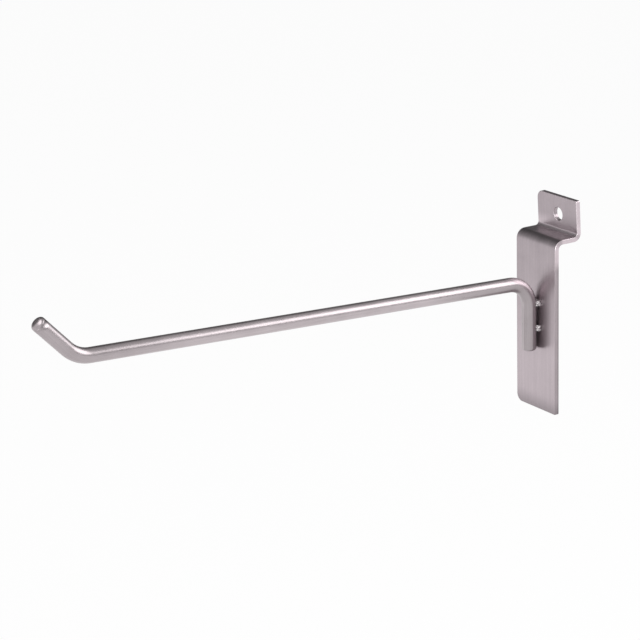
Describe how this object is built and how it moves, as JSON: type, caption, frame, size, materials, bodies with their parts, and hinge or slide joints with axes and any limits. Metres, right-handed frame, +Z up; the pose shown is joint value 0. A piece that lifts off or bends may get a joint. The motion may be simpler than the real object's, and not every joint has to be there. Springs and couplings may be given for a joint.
{
  "type": "slatwall hook",
  "caption": "Hook for a slotted wall panel: a folded steel plate that hooks into a groove, with a bent wire arm that goods hang on.",
  "frame": {"origin": "on the back face of the main plate, in the middle of its width, level with the corner where the arm leaves the leg", "axes": "+X along the plate's width, to the right as seen from the front; +Y into the wall; +Z up"},
  "size_m": [0.0254, 0.2361, 0.0877],
  "materials": {
    "plate_steel": "satin",
    "wire_steel": "satin",
    "weld_steel": "satin"
  },
  "bodies": {
    "root": {"back_plate": "plate_steel", "hook_wire": "wire_steel", "welds": "weld_steel"}
  },
  "joints": []
}
